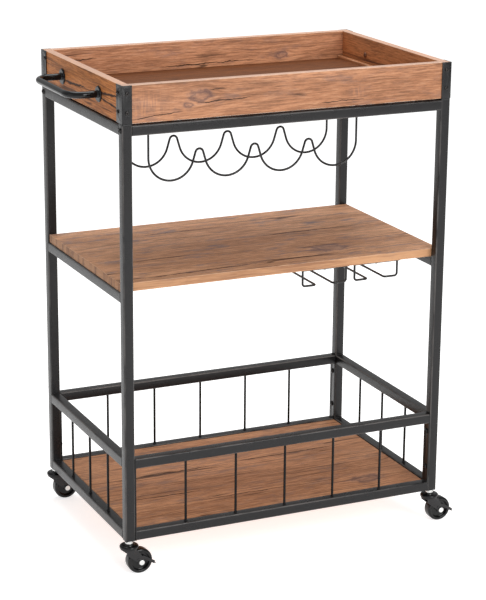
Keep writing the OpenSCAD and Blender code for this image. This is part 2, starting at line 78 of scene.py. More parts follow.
class Flow:
    """A value on its way through a material. The usual signs work on it as on a number."""

    def __init__(self, tree, socket):
        self.tree, self.socket = tree, socket

    def math(self, operation, *terms):
        node = self.tree.nodes.new("ShaderNodeMath")
        node.operation = operation
        for place, term in zip(node.inputs, terms):
            join(self.tree, term, place)
        return Flow(self.tree, node.outputs[0])

    def __add__(self, other):
        return self.math("ADD", self, other)

    def __sub__(self, other):
        return self.math("SUBTRACT", self, other)

    def __rsub__(self, other):
        return self.math("SUBTRACT", other, self)

    def __mul__(self, other):
        return self.math("MULTIPLY", self, other)

    def __truediv__(self, other):
        return self.math("DIVIDE", self, other)

    def __abs__(self):
        return self.math("ABSOLUTE", self)

    def exp(self):
        return self.math("EXPONENT", self)

    __radd__, __rmul__ = __add__, __mul__


def join(tree, value, socket):
    """Puts a number, a colour or a Flow into a socket."""
    if isinstance(value, Flow):
        tree.links.new(value.socket, socket)
    else:
        socket.default_value = value


class Finish:
    """A material: one Principled shader and the nodes that vary it over the surface."""

    def __init__(self, name, constants):
        self.material = bpy.data.materials.new(name)
        self.material.use_nodes = True
        self.tree = self.material.node_tree
        self.tree.nodes.clear()
        self.shader = self.tree.nodes.new("ShaderNodeBsdfPrincipled")
        output = self.tree.nodes.new("ShaderNodeOutputMaterial")
        self.tree.links.new(self.shader.outputs[0], output.inputs[0])
        self.vary(constants)
        self.place = self.node("ShaderNodeTexCoord", output="Object")

    def vary(self, sockets):
        for name, value in sockets.items():
            join(self.tree, value, self.shader.inputs[name])

    def node(self, kind, settings={}, sockets={}, output=0):
        node = self.tree.nodes.new(kind)
        for name, value in settings.items():
            setattr(node, name, value)
        for name, value in sockets.items():
            join(self.tree, value, node.inputs[name])
        return Flow(self.tree, node.outputs[output])

    def vector(self, operation, first, second):
        return self.node("ShaderNodeVectorMath", {"operation": operation}, {0: first, 1: second})

    def noise(self, place, repeats, detail=2.0, rough=0.5):
        """Noise with a number of repeats per metre along each axis."""
        if not isinstance(repeats, tuple):
            repeats = (repeats,) * 3
        return self.node("ShaderNodeTexNoise", {}, {
            "Vector": self.vector("MULTIPLY", place, repeats), "Scale": 1.0,
            "Detail": detail, "Roughness": rough})

    def rise(self, value, low, high):
        """0 below low, 1 above high, and smooth between them."""
        return self.node("ShaderNodeMapRange", {"interpolation_type": "SMOOTHSTEP"},
                         {"Value": value, "From Min": low, "From Max": high})

    def blend(self, share, first, second, way="MIX"):
        return self.node("ShaderNodeMix", {"data_type": "RGBA", "blend_type": way},
                         {0: share, 6: first, 7: second}, 2)

    def relief(self, height, depth, strength=1.0):
        """Bump of a height of 0 to 1 times depth in metres."""
        self.vary({"Normal": self.node("ShaderNodeBump", {}, {
            "Height": height, "Distance": depth, "Strength": strength})})

    def attribute(self, name):
        return self.node("ShaderNodeAttribute", {"attribute_name": name}, output="Fac")


def coated_steel(name, shade, dust_wear_and_highlight_shade, gloss, worn=False, peel=0.00012, spec=0.31):
    """Powder-coated steel: a fine orange-peel skin, faint mottling, and paler rounded edges,
    partly rubbed wear and partly a painted highlight.
    """
    f = Finish(name, {"Specular IOR Level": spec})
    mottle = f.noise(f.place, 38, 4, 0.6)
    skin = f.noise(f.place, 1500, 2, 0.6)
    dust = f.rise(f.noise(f.place, (60, 60, 260), 3, 0.6), 0.55, 0.8)
    base = f.blend(mottle, tuple(0.86 * c for c in shade), tuple(1.14 * c for c in shade))
    base = f.blend(dust * 0.05, base, dust_wear_and_highlight_shade)
    # Paler rounded corners: partly rubbed wear, partly a painted highlight along the tube edges.
    if worn:
        rub = f.attribute("worn") * f.rise(f.noise(f.place, (12, 12, 12), 3, 0.6), 0.3, 0.6)
        base = f.blend(rub * 0.62, base, dust_wear_and_highlight_shade)
    f.vary({"Base Color": base, "Roughness": gloss + 0.16 * mottle - 0.06 * skin})
    f.relief(skin, peel)
    return f.material


def new_piece(name, mesh, material):
    """A mesh as an object at the origin, smooth but for its sharp edges."""
    piece = bpy.data.objects.new(name, mesh)
    bpy.context.scene.collection.objects.link(piece)
    mesh.materials.clear()
    mesh.materials.append(material)
    mesh.polygons.foreach_set("use_smooth", [True] * len(mesh.polygons))
    mesh.set_sharp_from_angle(angle=math.radians(32))
    return piece


def fit(piece, slot, *nodes):
    """The piece stands for these nodes and rides on their body."""
    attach(piece, frame["nodes"][nodes[0]]["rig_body"])
    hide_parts(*nodes)


def rounded_square(side, radius, steps=5):
    """Points round a square with rounded corners, and how far each is into a corner."""
    points, worn = [], []
    for quarter in range(4):
        turn = quarter * math.pi / 2
        cx, cy = [(side / 2 - radius) * s for s in
                  ((1, 1), (-1, 1), (-1, -1), (1, -1))[quarter]]
        for i in range(steps + 1):
            a = turn + i / steps * math.pi / 2
            points.append((cx + radius * math.cos(a), cy + radius * math.sin(a)))
            worn.append(math.sin(math.pi * i / steps))
    return points, worn


def ring_faces(count, first, second):
    """Quads between two rings of points, outside first for rings that run anticlockwise."""
    return [(first + i, first + (i + 1) % count, second + (i + 1) % count, second + i)
            for i in range(count)]


def square_tube(name, low, high, wall, radius):
    """Open square tube that fills the box from low to high."""
    low, high = Vector(low), Vector(high)
    size = high - low
    run = max(range(3), key=lambda i: size[i])
    side = size[(run + 1) % 3]
    outer, worn = rounded_square(side, radius)
    inner, _ = rounded_square(side - 2 * wall, radius - wall)
    count = len(outer)
    middle = (low + high) / 2
    points, rub = [], []
    for end in (low[run], high[run]):
        for ring, rubbed in ((outer, worn), (inner, [0] * count)):
            for (u, v), r in zip(ring, rubbed):
                p = middle.copy()
                p[run], p[(run + 1) % 3], p[(run + 2) % 3] = (
                    end, middle[(run + 1) % 3] + u, middle[(run + 2) % 3] + v)
                points.append(p)
                rub.append(r)
    faces = ring_faces(count, 0, 2 * count)
    faces += [f[::-1] for f in ring_faces(count, count, 3 * count)]
    faces += [f[::-1] for f in ring_faces(count, 0, count)]
    faces += ring_faces(count, 2 * count, 3 * count)
    mesh = bpy.data.meshes.new(name)
    mesh.from_pydata(points, [], faces)
    mesh.attributes.new("worn", "FLOAT", "POINT").data.foreach_set("value", rub)
    return mesh


# The pale second colour is for dust and for the tube edges, where it is partly wear and partly a
# painted highlight.
tube_steel = coated_steel("charcoal_tube_coat", tone(20, 19, 20), tone(104, 100, 98), 0.24, True)
tube_wall, tube_corner = 0.0012, 0.0025
tubes = [n for n in frame["nodes"] if n.startswith("post_") and n != "post_caps"]
tubes += [n for n in frame["nodes"] if "_rail_" in n]
for node in tubes:
    steel = new_piece(node + "_tube", square_tube(node, *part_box(node), tube_wall, tube_corner),
                      tube_steel)
    fit(steel, "frame_steel", node)

# ---- Basket spindles ----
# Round steel rod, 4.5 mm, cut to length and resistance welded between the basket's bottom
# and guard rails, with a small squeezed collar of weld at each end. Coated with the frame.


def node_tree(name, inputs):
    """An empty Geometry Nodes tree with named inputs, its input node and its output node."""
    tree = bpy.data.node_groups.new(name, "GeometryNodeTree")
    tree.interface.new_socket("Geometry", in_out="INPUT", socket_type="NodeSocketGeometry")
    for label, kind in inputs:
        tree.interface.new_socket(label, in_out="INPUT", socket_type="NodeSocket" + kind)
    tree.interface.new_socket("Geometry", in_out="OUTPUT", socket_type="NodeSocketGeometry")
    return tree, tree.nodes.new("NodeGroupInput"), tree.nodes.new("NodeGroupOutput")


def step(tree, kind, settings, sockets, output=0):
    """Adds a node to a tree, gives it its settings and sockets, and returns an output."""
    node = tree.nodes.new(kind)
    for name, value in settings.items():
        setattr(node, name, value)
    for name, value in sockets.items():
        if isinstance(value, bpy.types.NodeSocket):
            tree.links.new(value, node.inputs[name])
        else:
            node.inputs[name].default_value = value
    return node.outputs[output]


def baked(carrier):
    """The plain mesh that an object's modifiers make of it."""
    graph = bpy.context.evaluated_depsgraph_get()
    return bpy.data.meshes.new_from_object(carrier.evaluated_get(graph), depsgraph=graph)


def grow(name, mesh, tree, settings, material):
    """Runs a tree on a mesh and keeps what it makes as a plain piece."""
    carrier = bpy.data.objects.new(name + "_carrier", mesh)
    modifier = carrier.modifiers.new("grow", "NODES")
    modifier.node_group = tree
    for socket in tree.interface.items_tree:
        if socket.in_out == "INPUT" and socket.name in settings:
            modifier[socket.identifier] = settings[socket.name]
        if socket.in_out == "INPUT" and socket.name == "Material":
            modifier[socket.identifier] = material
    bpy.context.scene.collection.objects.link(carrier)
    made = baked(carrier)
    carrier.modifiers.remove(modifier)
    bpy.data.objects.remove(carrier)
    return new_piece(name, made, material)


# Rod or wire along the lines of a mesh
rod_tree, given, result = node_tree("rod_along_lines", [
    ("Radius", "Float"), ("Sides", "Int"), ("Material", "Material")])
line = step(rod_tree, "GeometryNodeMeshToCurve", {}, {0: given.outputs["Geometry"]})
section = step(rod_tree, "GeometryNodeCurvePrimitiveCircle", {}, {
    "Resolution": given.outputs["Sides"], "Radius": given.outputs["Radius"]})
rod = step(rod_tree, "GeometryNodeCurveToMesh", {}, {0: line, 1: section, "Fill Caps": True})
rod = step(rod_tree, "GeometryNodeRealizeInstances", {}, {0: rod})
rod = step(rod_tree, "GeometryNodeSetMaterial", {}, {
    "Geometry": rod, "Material": given.outputs["Material"]})
rod_tree.links.new(rod, result.inputs["Geometry"])


def lines_mesh(name, lines):
    """A mesh of open lines; a line that ends where it starts is closed."""
    points, edges = [], []
    for pts in lines:
        closed = (Vector(pts[0]) - Vector(pts[-1])).length < 1e-7
        first = len(points)
        pts = pts[:-1] if closed else pts
        points += pts
        edges += [(first + i, first + i + 1) for i in range(len(pts) - 1)]
        edges += [(first + len(pts) - 1, first)] if closed else []
    mesh = bpy.data.meshes.new(name)
    mesh.from_pydata([tuple(p) for p in points], edges, [])
    return mesh


def solids(node):
    """The points of each separate solid of a CAD node."""
    bm = bmesh.new()
    bm.from_mesh(frame["nodes"][node].data)
    bmesh.ops.remove_doubles(bm, verts=bm.verts, dist=1e-6)
    bm.verts.ensure_lookup_table()
    seen, found = set(), []
    for start in bm.verts:
        if start in seen:
            continue
        seen.add(start)
        group, queue = [], [start]
        while queue:
            vert = queue.pop()
            group.append(tuple(vert.co))
            for edge in vert.link_edges:
                other = edge.other_vert(vert)
                if other not in seen:
                    seen.add(other)
                    queue.append(other)
        found.append(np.array(group))
    bm.free()
    return sorted(found, key=lambda g: tuple(np.round(g.mean(0), 4)))


rod_steel = coated_steel("charcoal_rod_coat", tone(10, 9, 9), tone(60, 56, 54), 0.22, spec=0.2)
spindle_r, collar_r, collar_inset = 0.00225, 0.0024, 0.0008
spindle_lines, collars = [], []
for spindle in solids("spindles"):
    x, y = (spindle.min(0) + spindle.max(0))[:2] / 2
    low, high = spindle[:, 2].min(), spindle[:, 2].max()
    spindle_lines.append([(x, y, low), (x, y, high)])
    for z in (low + collar_inset, high - collar_inset):
        collars.append([(x + collar_r * math.cos(a), y + collar_r * math.sin(a), z)
                        for a in np.linspace(0, 2 * math.pi, 17)])
spindles = grow("basket_spindles", lines_mesh("spindle_lines", spindle_lines), rod_tree,
                {"Radius": spindle_r, "Sides": 20}, rod_steel)
fit(spindles, "frame_steel", "spindles")

# ---- Weld beads ----
# The side frames' rails are MIG welded to the posts along their upper and lower edges, and
# the basket rails to their end plates. Each bead is a row of small overlapping ripples.
bead_tree, given, result = node_tree("weld_beads", [
    ("Pitch", "Float"), ("Radius", "Float"), ("Seed", "Int"), ("Material", "Material")])
line = step(bead_tree, "GeometryNodeMeshToCurve", {}, {0: given.outputs["Geometry"]})
row = step(bead_tree, "GeometryNodeResampleCurve", {"mode": "LENGTH"}, {
    "Curve": line, "Length": given.outputs["Pitch"]})
drop = step(bead_tree, "GeometryNodeMeshIcoSphere", {}, {
    "Radius": given.outputs["Radius"], "Subdivisions": 2})
jitter = step(bead_tree, "FunctionNodeRandomValue", {"data_type": "FLOAT"}, {
    2: 0.85, 3: 1.15, "Seed": given.outputs["Seed"]}, 1)
beads = step(bead_tree, "GeometryNodeInstanceOnPoints", {}, {
    "Points": row, "Instance": drop, "Scale": jitter})
beads = step(bead_tree, "GeometryNodeRealizeInstances", {}, {0: beads})
beads = step(bead_tree, "GeometryNodeSetMaterial", {}, {
    "Geometry": beads, "Material": given.outputs["Material"]})
bead_tree.links.new(beads, result.inputs["Geometry"])

seams, bead_inset = [], 0.002
for side in ("left", "right"):
    for rail in ("top", "shelf", "guard", "bottom"):
        low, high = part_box(f"{rail}_rail_{side}")
        for z in [z for z, shown in ((low.z, rail != "bottom"), (high.z, rail != "top")) if shown]:
            for y in (low.y, high.y):
                seams.append([(low.x + bead_inset, y, z), (high.x - bead_inset, y, z)])
for side in ("front", "rear"):
    for rail in ("guard", "bottom"):
        low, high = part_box(f"{rail}_rail_{side}")
        z = low.z if rail == "guard" else high.z
        seams += [[(x, low.y + bead_inset, z), (x, high.y - bead_inset, z)]
                  for x in (low.x, high.x)]
weld = coated_steel("coated_weld", tone(34, 34, 35), tone(80, 76, 74), 0.35, peel=0.0002)
seam_beads = grow("frame_seam_beads", lines_mesh("seams", seams), bead_tree,
                  {"Pitch": 0.0013, "Radius": 0.0011, "Seed": 4}, weld)
collar_beads = grow("spindle_collar_beads", lines_mesh("collars", collars), bead_tree,
                    {"Pitch": 0.0011, "Radius": 0.0009, "Seed": 9}, weld)
for piece in (seam_beads, collar_beads):
    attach(piece, "frame")

# ---- End plates of the basket panels ----
# Flat steel strip, 2 mm thick, welded across the ends of each panel's two rails and bored
# for the bolts that pull the panel against the posts. Its edges are deburred.


def as_mesh(bm, name):
    """The finished mesh of a bmesh, which is freed."""
    mesh = bpy.data.meshes.new(name)
    bm.to_mesh(mesh)
    bm.free()
    return mesh


def softened(name, node, width, material, sections=2):
    """A copy of a CAD node with its sharp edges rounded off."""
    bm = bmesh.new()
    bm.from_mesh(frame["nodes"][node].data)
    bmesh.ops.remove_doubles(bm, verts=bm.verts, dist=1e-6)
    bmesh.ops.dissolve_limit(bm, angle_limit=math.radians(1), verts=bm.verts, edges=bm.edges)
    carrier = bpy.data.objects.new(name + "_carrier", as_mesh(bm, name))
    bpy.context.scene.collection.objects.link(carrier)
    rounding = carrier.modifiers.new("rounding", "BEVEL")
    rounding.width, rounding.segments = width, sections
    rounding.limit_method, rounding.angle_limit = "ANGLE", math.radians(40)
    made = baked(carrier)
    bpy.data.objects.remove(carrier)
    return new_piece(name, made, material)


plates = softened("panel_end_plates", "panel_plates", 0.0003, tube_steel)
fit(plates, "frame_steel", "panel_plates")

# ---- Frame bolts ----
# Twelve M6 button-head bolts in black oxide: one through the top of each post into the long
# top rail's plug, and two through each end plate into a post. Hexagon sockets in the heads.


def turned(profile, count=32):
    """A bmesh turned about Z from a profile of (radius, height) points."""
    bm = bmesh.new()
    rings = []
    for radius, height in profile:
        if radius < 1e-7:
            rings.append([bm.verts.new((0, 0, height))])
        else:
            rings.append([bm.verts.new((radius * math.cos(a), radius * math.sin(a), height))
                          for a in np.arange(count) * 2 * math.pi / count])
    pairs = list(zip(rings, rings[1:]))
    if len(rings[0]) > 1:
        pairs.append((rings[-1], rings[0]))
    for a, b in pairs:
        for i in range(count):
            j = (i + 1) % count
            corners = [a[i % len(a)], a[j % len(a)], b[j % len(b)], b[i % len(b)]]
            bm.faces.new([v for k, v in enumerate(corners) if v not in corners[:k]])
    bmesh.ops.recalc_face_normals(bm, faces=bm.faces)
    return bm


def head_with_recess(name, head_r, head_h, shank_r, shank_l, cross):
    """Domed head with its underside at height 0, a shank below it and a recess in its top."""
    dome = [(head_r, head_h * 0.3)]
    for i in range(1, 6):
        a = i / 5 * math.pi / 2
        dome.append((head_r * (0.45 + 0.55 * math.cos(a)), head_h * (0.3 + 0.7 * math.sin(a))))
    bm = turned([(0, -shank_l), (shank_r, -shank_l), (shank_r, 0), (head_r * 0.96, 0)] + dome
                + [(0, head_h)], 28)
    mesh = as_mesh(bm, name)
    cutter = bmesh.new()
    if cross:
        for turn in (0, math.pi / 2):
            made = bmesh.ops.create_cube(cutter, size=1.0)["verts"]
            for v in made:
                taper = 1.0 if v.co.z > 0 else 0.35
                v.co = Vector((v.co.x * head_r * 1.15 * taper, v.co.y * head_r * 0.3,
                               head_h * (1.1 if v.co.z > 0 else 0.25)))
            bmesh.ops.rotate(cutter, verts=made, cent=(0, 0, 0),
                             matrix=Matrix.Rotation(turn, 3, "Z"))
    else:
        bmesh.ops.create_cone(cutter, cap_ends=True, segments=6, radius1=head_r * 0.42,
                              radius2=head_r * 0.42, depth=head_h * 1.2,
                              matrix=Matrix.Translation((0, 0, head_h * 0.95)))
    head = bpy.data.objects.new(name, mesh)
    tool = bpy.data.objects.new(name + "_tool", as_mesh(cutter, name + "_tool"))
    for o in (head, tool):
        bpy.context.scene.collection.objects.link(o)
    cut = head.modifiers.new("recess", "BOOLEAN")
    cut.operation, cut.object, cut.solver = "DIFFERENCE", tool, "EXACT"
    cut.use_self = True
    made = baked(head)
    head.modifiers.remove(cut)
    bpy.data.objects.remove(tool)
    head.data = made
    return head


def fixings(node):
    """Place of each fastener's head underside, its outward direction, and its four sizes."""
    found = []
    for points in solids(node):
        low, high = points.min(0), points.max(0)
        run = int(np.argmax(high - low))
        middle = (low + high) / 2
        rest = [i for i in range(3) if i != run]
        radius = np.hypot(*(points[:, rest] - middle[rest]).T)
        head_r = radius.max()
        head = points[radius > 0.9 * head_r][:, run]
        outward = 1 if abs(head.max() - high[run]) < 1e-6 else -1
        under = middle.copy()
        under[run] = head.min() if outward > 0 else head.max()
        direction = np.zeros(3)
        direction[run] = outward
        head_h = head.max() - head.min()
        shank = radius[(points[:, run] - under[run]) * outward < -1e-4]
        found.append((under, direction, head_r, head_h, shank.max(),
                      high[run] - low[run] - head_h))
    return found


# A fastener at each point, turned to its outward direction and by a random amount about it
fix_tree, given, result = node_tree("fasteners", [
    ("Fastener", "Object"), ("Seed", "Int"), ("Material", "Material")])
shape = step(fix_tree, "GeometryNodeObjectInfo", {}, {0: given.outputs["Fastener"]}, "Geometry")
outward = step(fix_tree, "GeometryNodeInputNamedAttribute", {"data_type": "FLOAT_VECTOR"},
               {"Name": "outward"})
aimed = step(fix_tree, "FunctionNodeAlignRotationToVector", {"axis": "Z"}, {"Vector": outward})
spin = step(fix_tree, "FunctionNodeRandomValue", {"data_type": "FLOAT"}, {
    2: 0.0, 3: 2 * math.pi, "Seed": given.outputs["Seed"]}, 1)
twist = step(fix_tree, "FunctionNodeAxisAngleToRotation", {}, {
    "Axis": (0.0, 0.0, 1.0), "Angle": spin})
aimed = step(fix_tree, "FunctionNodeRotateRotation", {"rotation_space": "LOCAL"}, {
    "Rotation": aimed, "Rotate By": twist})
placed = step(fix_tree, "GeometryNodeInstanceOnPoints", {}, {
    "Points": given.outputs["Geometry"], "Instance": shape, "Rotation": aimed})
placed = step(fix_tree, "GeometryNodeRealizeInstances", {}, {0: placed})
placed = step(fix_tree, "GeometryNodeSetMaterial", {}, {
    "Geometry": placed, "Material": given.outputs["Material"]})
fix_tree.links.new(placed, result.inputs["Geometry"])


def fasten(name, node, slot, material, cross, seed):
    """Replaces a CAD node's plain fasteners; those of one size share one head."""
    kinds = {}
    for under, direction, *sizes in fixings(node):
        kinds.setdefault(tuple(round(s, 4) for s in sizes), []).append((under, direction))
    for number, (sizes, places) in enumerate(sorted(kinds.items())):
        head = head_with_recess(name + "_head", *sizes, cross)
        mesh = bpy.data.meshes.new(name + "_points")
        mesh.from_pydata([tuple(p) for p, _ in places], [], [])
        mesh.attributes.new("outward", "FLOAT_VECTOR", "POINT").data.foreach_set(
            "vector", np.array([d for _, d in places]).ravel())
        piece = grow(f"{name}_{number + 1}", mesh, fix_tree,
                     {"Fastener": head, "Seed": seed + number}, material)
        bpy.data.objects.remove(head)
        fit(piece, slot, node)


def plated(name, shade, rough, metallic, scratch=0.5):
    """Plated or oxidised metal with fine turning marks and a little staining."""
    f = Finish(name, {"Metallic": metallic, "Specular IOR Level": 0.5})
    stain = f.noise(f.place, 210, 4, 0.6)
    marks = f.noise(f.place, (3000, 3000, 500), 2, 0.6)
    f.vary({"Base Color": f.blend(stain, tuple(0.78 * c for c in shade[:3]) + (1,), shade),
            "Roughness": rough + 0.14 * stain + 0.05 * marks})
    f.relief(marks, 0.00004, scratch)
    return f.material


black_oxide = plated("black_oxide", tone(36, 34, 34), 0.24, 0.45)
fasten("frame_bolts_m6", "frame_bolts", "black_bolt", black_oxide, False, 21)

# ---- Post caps ----
# Moulded polyethylene caps pushed into the posts' open tops, with a softened rim. The tray
# rests just above them.


def moulded(name, shade, rough, grain=0.00006):
    """Moulded plastic or dipped lacquer, with a fine spark-eroded grain."""
    f = Finish(name, {"Specular IOR Level": 0.32})
    cloud = f.noise(f.place, 55, 3, 0.55)
    pebble = f.noise(f.place, 1900, 2, 0.5)
    f.vary({"Base Color": f.blend(cloud, tuple(0.8 * c for c in shade[:3]) + (1,), shade),
            "Roughness": rough + 0.1 * cloud - 0.03 * pebble})
    f.relief(pebble, grain)
    return f.material


cap_plastic = moulded("black_cap_plastic", tone(38, 38, 39), 0.42)
caps = softened("post_caps_moulded", "post_caps", 0.0007, cap_plastic, 3)
fit(caps, "black_plastic", "post_caps")
plugs = softened("caster_plugs", "stem_sockets", 0.0004, cap_plastic)
fit(plugs, "black_plastic", "stem_sockets")

# ---- Middle shelf ----
# Particle board 15 mm thick, faced with a rustic brown timber decor whose grain runs along
# X, and edged with a lighter, more orange band. Screwed down from below to the shelf rails.


def timber(name, grain, shift, tint=(1.0, 1.0, 1.0), knots=(), cracks=(), scrapes=(), grey=0.45,
           painted_highlight_top=None, band=None, lines_share=0.3):
    """Weathered brown timber.

    grain is the axis that the fibres follow, and shift picks another stretch of the tree. A knot
    or a patch of saw scrapes is (along, across, height, length). A crack has its start and its
    end, each (along, across, height), and its width; 99 stands for the way that it runs deep.
    Each crack is painted as a dark band: the split itself, with painted shade along it. tint
    multiplies the colour; on the tray floor it is painted shade. A wall's top edge can carry a
    painted highlight, a paler strip just under it.
    """
    f = Finish(name, {"Specular IOR Level": 0.32, "IOR": 1.45})
    axes = f.tree.nodes.new("ShaderNodeSeparateXYZ")
    f.tree.links.new(f.place.socket, axes.inputs[0])
    along, across, height = (Flow(f.tree, axes.outputs[i]) for i in
                             ((0, 1, 2) if grain == "x" else (1, 0, 2)))

    def combined(a, b, c):
        return f.node("ShaderNodeCombineXYZ", {}, {0: a, 1: b, 2: c})

    still = combined(along + shift, across + shift * 0.7, height)
    sway = (f.noise(still, (3.2, 11, 11), 3, 0.55) - 0.5) * 0.014
    flow_across, flow_up = across + sway, height + sway
    rims, cores, rim_at = 0.0, 0.0, 0.9
    for k_along, k_across, k_up, length in knots:
        da, db, dc = along - k_along, across - k_across, height - k_up
        far = (da * da * 0.3 + db * db + dc * dc) / (length * 0.28) ** 2
        pull = (far * -0.28).exp() * 0.8
        flow_across, flow_up = flow_across - db * pull, flow_up - dc * pull
        ragged = far.math("SQRT", far) + (f.noise(still, (50, 90, 90), 4, 0.7) - 0.5) * 2.4
        off_rim = ragged - rim_at
        rims = (off_rim * off_rim * -16.0).exp() + rims
        cores = 1.0 - f.rise(ragged, rim_at, rim_at + 1.0) + cores
    flow = combined(along + shift, flow_across + shift * 0.7, flow_up)

    boards = f.noise(flow, (2.4, 17, 17), 3, 0.6)
    streaks = f.noise(flow, (6, 150, 150), 4, 0.7)
    grain_lines = f.noise(flow, (26, 420, 420), 4, 0.75)
    fibres = f.noise(flow, (55, 1300, 1300), 3, 0.7)
    weather = f.noise(still, (13, 44, 44), 6, 0.74)
    lines = f.noise(flow, (1.5, 40, 40), 1.0, 0.4)
    lots = f.rise(f.noise(still, (7, 24, 24), 2, 0.5), 0.5, 0.6)
    hair = (1.0 - f.rise(abs(lines - 0.5), 0.003, 0.011)) * lots
    long_lines = f.rise(f.noise(flow, (3.4, 230, 230), 3, 0.6), 0.58, 0.68)
    pores = f.rise(f.noise(flow, (95, 1500, 1500), 2, 0.5), 0.6, 0.72)

    light, mid = tone(207, 148, 108), tone(181, 125, 88)
    dark, mauve, split = tone(84, 54, 38), tone(118, 98, 94), tone(44, 28, 22)
    wood = f.blend(f.rise(boards, 0.34, 0.66), light, mid)
    wood = f.blend(f.rise(streaks, 0.48, 0.68) * 0.42, wood, dark)
    wood = f.blend(f.rise(grain_lines, 0.46, 0.6) * 0.42, wood, dark)
    wood = f.blend((1.0 - f.rise(grain_lines, 0.36, 0.47)) * 0.3, wood, tone(226, 178, 140))
    wood = f.blend(f.rise(fibres, 0.45, 0.8) * 0.3, wood, dark)
    wood = f.blend(long_lines * lines_share, wood, dark)
    wood = f.blend(f.rise(weather, 0.5, 0.7) * grey, wood, mauve)
    wood = f.blend(pores * 0.3, wood, split)
    depth = 0.3 * fibres - 0.6 * grain_lines - 0.8 * hair
    opened = hair * 0.72
    # Cracks: each is painted as a dark band, the split itself with painted shade along it.
    for start, end, width in cracks:
        share = f.rise(along, min(start[0], end[0]), max(start[0], end[0]))
        linear = (along - start[0]) / (end[0] - start[0])
        wander = (f.noise(still, (38, 6, 6), 3, 0.6) - 0.5) * 0.009
        free, axis = (across, 1) if start[1] != 99 else (height, 2)
        off = free - start[axis] - linear * (end[axis] - start[axis]) - wander
        taper = f.rise(share * (1.0 - share) * 6.0, 0.0, 1.0)
        thick = f.noise(still, (70, 20, 20), 2, 0.6) * 1.5 * width
        away = abs(off) / (thick * taper + 0.00005)
        crack = (1.0 - f.rise(away, 0.35, 1.0)) * f.rise(taper, 0, 0.1)
        opened = opened.math("MAXIMUM", opened, crack * 0.95)
        depth = depth - crack * 1.5
    for s_along, s_across, s_up, length in scrapes:
        da, dc = along - s_along, height - s_up
        db = across - s_across
        near = ((da * da + 4.0 * (db * db + dc * dc)) / (length * 0.5) ** 2 * -1.0).exp()
        strokes = f.rise(f.noise(still, (230, 26, 26), 2, 0.5), 0.5, 0.62)
        wood = f.blend(strokes * near * 0.34, wood, light)
        wood = f.blend((1.0 - strokes) * near * 0.28, wood, mauve)
    if knots:
        wood = f.blend(cores * 0.3, wood, mauve)
        wood = f.blend(rims * 0.55, wood, tone(86, 64, 66))
        depth = depth - rims * 0.6
    # Each board's tint multiplies its colour; the tray floor's dark tint is painted shade.
    wood = f.blend(1.0, wood, tint + (1.0,), "MULTIPLY")
    wood = f.blend(opened, wood, split)
    if band:
        strip = f.blend(f.rise(streaks, 0.4, 0.66) * 0.7, tone(183, 137, 99), tone(118, 76, 51))
        strip = f.blend(opened, strip, split)
        wood = f.blend(f.attribute("band") * band, wood, strip)
        butts = f.rise(f.noise(f.place, (4, 62, 9), 3, 0.62), 0.44, 0.62)
        butt = f.blend(butts * 0.75, tone(160, 117, 84), tone(88, 54, 36))
        wood = f.blend(f.attribute("butt") * band, wood, butt)
    # A painted highlight: a paler strip just under the board's top edge, standing for the light on the
    # wall's top.
    if painted_highlight_top:
        top = f.rise(height, painted_highlight_top - 0.0008, painted_highlight_top - 0.0002)
        wood = f.blend(top * 0.6, wood, tone(208, 178, 160))
    rub = f.attribute("worn") * f.rise(f.noise(still, (60, 200, 200), 3, 0.6), 0.3, 0.6)
    wood = f.blend(rub * 0.5, wood, tone(226, 190, 160))
    f.vary({"Base Color": wood, "Roughness": 0.5 + 0.2 * grain_lines + 0.12 * opened})
    f.relief(depth, 0.0003, 0.7)
    return f.material


def plank(name, low, high, rounding=0.0009):
    """A board with its arrises eased, and where it is worn or edged noted on the mesh."""
    low, high = Vector(low), Vector(high)
    bm = bmesh.new()
    bmesh.ops.create_cube(bm, size=1.0)
    size, middle = high - low, (high + low) / 2
    for v in bm.verts:
        v.co = Vector(c * s + m for c, s, m in zip(v.co, size, middle))
    bmesh.ops.bevel(bm, geom=bm.edges, offset=rounding, segments=4, profile=0.5,
                    affect="EDGES", clamp_overlap=True)
    bm.normal_update()
    mesh = as_mesh(bm, name)
    worn = [0.0 if any(min(abs(c - l), abs(c - h)) < 1e-6 for c, l, h in zip(v.co, low, high))
            else 1.0 for v in mesh.vertices]
    mesh.attributes.new("worn", "FLOAT", "POINT").data.foreach_set("value", worn)
    for label, axis in (("band", 1), ("butt", 0)):
        faced = [1.0 if abs(p.normal[axis]) > 0.7 else 0.0 for p in mesh.polygons]
        mesh.attributes.new(label, "FLOAT", "FACE").data.foreach_set("value", faced)
    return mesh


shelf_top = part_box("middle_shelf")[1].z
shelf_wood = timber("middle_shelf_timber", "x", 0.31, (1.3, 1.45, 1.6), band=0.9, grey=0.95,
                    knots=[(0.124, -0.106, shelf_top, 0.06)],
                    cracks=[((-0.3, -0.166, 99), (0.0, -0.147, 99), 0.0034),
                            ((-0.07, -0.15, 99), (0.16, -0.138, 99), 0.0026),
                            ((0.0, 0.02, 99), (0.29, 0.024, 99), 0.003),
                            ((-0.22, 0.104, 99), (0.05, 0.11, 99), 0.0024),
                            ((-0.27, -0.06, 99), (-0.1, -0.052, 99), 0.002)])
shelf = new_piece("middle_shelf_board", plank("middle_shelf_board", *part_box("middle_shelf")),
                  shelf_wood)
fit(shelf, "board", "middle_shelf")

